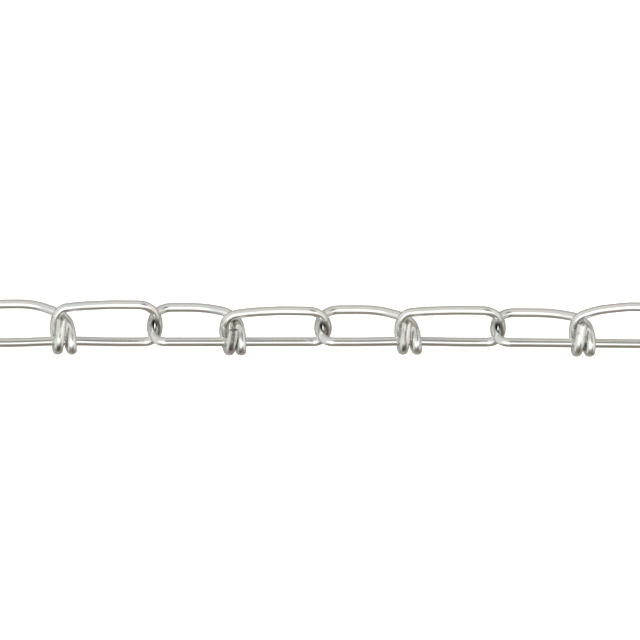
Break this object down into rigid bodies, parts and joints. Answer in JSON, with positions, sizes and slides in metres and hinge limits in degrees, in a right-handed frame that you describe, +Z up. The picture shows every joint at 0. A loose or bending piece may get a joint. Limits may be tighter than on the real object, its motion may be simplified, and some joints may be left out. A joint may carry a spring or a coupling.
{
  "type": "knotted double-loop wire chain",
  "caption": "Straight length of knotted double-loop chain in bright zinc-plated steel wire, each link one bent wire with a long loop at both ends and a knot in its middle.",
  "frame": {"origin": "on the floor, at the middle of the chain's length and width", "axes": "+X along the chain, +Y across it towards the loops' long free strands, +Z up from the floor the chain lies on"},
  "size_m": [0.3094, 0.0129, 0.0095],
  "materials": {
    "zinc_wire": "bright zinc plate on drawn steel wire"
  },
  "bodies": {
    "link_1": {"link_1": "zinc_wire"},
    "link_2": {"link_2": "zinc_wire"},
    "link_3": {"link_3": "zinc_wire"},
    "link_4": {"link_4": "zinc_wire"},
    "link_5": {"link_5": "zinc_wire"},
    "link_6": {"link_6": "zinc_wire"},
    "link_7": {"link_7": "zinc_wire"},
    "link_8": {"link_8": "zinc_wire"}
  },
  "joints": [
    {"name": "link_2_on_link_1", "type": "hinge", "parent": "link_1", "child": "link_2", "pos_m": [-0.11324, 0.00081, 0.00476], "axis": [0, 0.7177, 0.6963], "range_deg": [-90, 90]},
    {"name": "link_3_on_link_2", "type": "hinge", "parent": "link_2", "child": "link_3", "pos_m": [-0.07787, 0.00111, 0.00476], "axis": [0, 0.7511, -0.6602], "range_deg": [-90, 90]},
    {"name": "link_4_on_link_3", "type": "hinge", "parent": "link_3", "child": "link_4", "pos_m": [-0.03644, 0.00116, 0.00476], "axis": [0, -0.7392, -0.6735], "range_deg": [-90, 90]},
    {"name": "link_5_on_link_4", "type": "hinge", "parent": "link_4", "child": "link_5", "pos_m": [-0.00177, 0.00061, 0.00476], "axis": [0, -0.6889, 0.7248], "range_deg": [-90, 90]},
    {"name": "link_6_on_link_5", "type": "hinge", "parent": "link_5", "child": "link_6", "pos_m": [0.03947, 0.00046, 0.00476], "axis": [0, 0.6838, 0.7297], "range_deg": [-90, 90]},
    {"name": "link_7_on_link_6", "type": "hinge", "parent": "link_6", "child": "link_7", "pos_m": [0.07544, 0.00051, 0.00476], "axis": [0, 0.7266, -0.6871], "range_deg": [-90, 90]},
    {"name": "link_8_on_link_7", "type": "hinge", "parent": "link_7", "child": "link_8", "pos_m": [0.11586, 0.00066, 0.00476], "axis": [0, -0.7132, -0.701], "range_deg": [-90, 90]}
  ]
}
